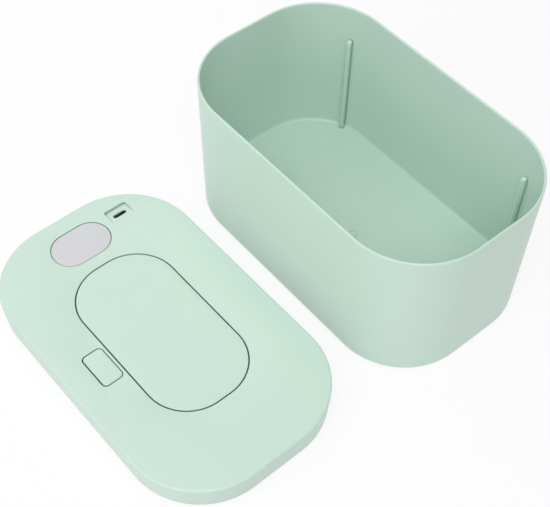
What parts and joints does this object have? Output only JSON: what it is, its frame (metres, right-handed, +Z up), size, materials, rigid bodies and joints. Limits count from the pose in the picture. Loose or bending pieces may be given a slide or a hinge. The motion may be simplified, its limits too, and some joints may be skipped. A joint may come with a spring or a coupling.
{
  "type": "baby wipe warmer",
  "caption": "Oblong tub for baby wipes with a heated lid unit lying beside it: sprung button, hinged dispensing door, grey window, USB-C port.",
  "frame": {"origin": "middle of the tub's underside, on the table", "axes": "+Z up; +X along the tub's length, away from the lid's window end; +Y across it, away from the lid unit that lies beside the tub"},
  "size_m": [0.2069, 0.2579, 0.0965],
  "materials": {
    "mint_plastic": "satin",
    "cover_plastic": "satin",
    "latch_plastic": "satin",
    "window_grey": "gloss",
    "silicone": "matte",
    "spring_steel": "satin",
    "screw_steel": "satin",
    "plate_aluminium": "brushed",
    "film_amber": "gloss",
    "foam_grey": "matte",
    "sensor_black": "gloss",
    "fuse_body": "satin",
    "board_green": "satin",
    "chip_black": "matte",
    "display_dark": "satin",
    "socket_steel": "satin",
    "connector_white": "satin",
    "wire_red": "satin"
  },
  "bodies": {
    "tub": {"tub": "mint_plastic"},
    "lid": {"lid_top_shell": "mint_plastic", "lid_base_cover": "cover_plastic", "window_lens": "window_grey", "heating_plate": "plate_aluminium", "control_board": "board_green", "board_parts": "chip_black", "display_module": "display_dark", "usb_c_socket": "socket_steel", "wire_connector": "connector_white", "temperature_sensor": "sensor_black", "thermal_fuse": "fuse_body", "heating_film": "film_amber", "insulation_pad": "foam_grey", "hinge_pin": "spring_steel", "cover_screws": "screw_steel", "plate_screws": "screw_steel", "board_screws": "screw_steel", "door_gasket": "silicone", "lid_seal": "silicone", "door_spring": "spring_steel", "button_springs": "spring_steel", "latch_spring": "spring_steel", "touch_spring": "spring_steel", "wires": "wire_red"},
    "door": {"door": "mint_plastic"},
    "button": {"release_button": "mint_plastic"},
    "latch": {"latch_slider": "latch_plastic"}
  },
  "joints": [
    {"name": "lid_lift", "type": "slide", "parent": "tub", "child": "lid", "axis": [0, 0, 1], "range_m": [0, 0.15]},
    {"name": "door_hinge", "type": "hinge", "parent": "lid", "child": "door", "pos_m": [-0.00708, -0.10205, 0.0156], "axis": [-0.9999, -0.0108, 0], "range_deg": [0, 95], "deforming": ["door_spring"]},
    {"name": "button_press", "type": "slide", "parent": "lid", "child": "button", "axis": [0, 0, -1], "range_m": [0, 0.0018], "stiffness_N_per_m": 400, "springref_m": -0.002, "deforming": ["button_springs"]},
    {"name": "latch_slide", "type": "slide", "parent": "lid", "child": "latch", "axis": [0.0108, -0.9999, 0], "range_m": [0, 0.0018], "stiffness_N_per_m": 300, "springref_m": -0.002, "deforming": ["latch_spring"]}
  ],
  "couplings": [
    {"joint": "latch_slide", "follows": "button_press", "ratio": 1}
  ]
}
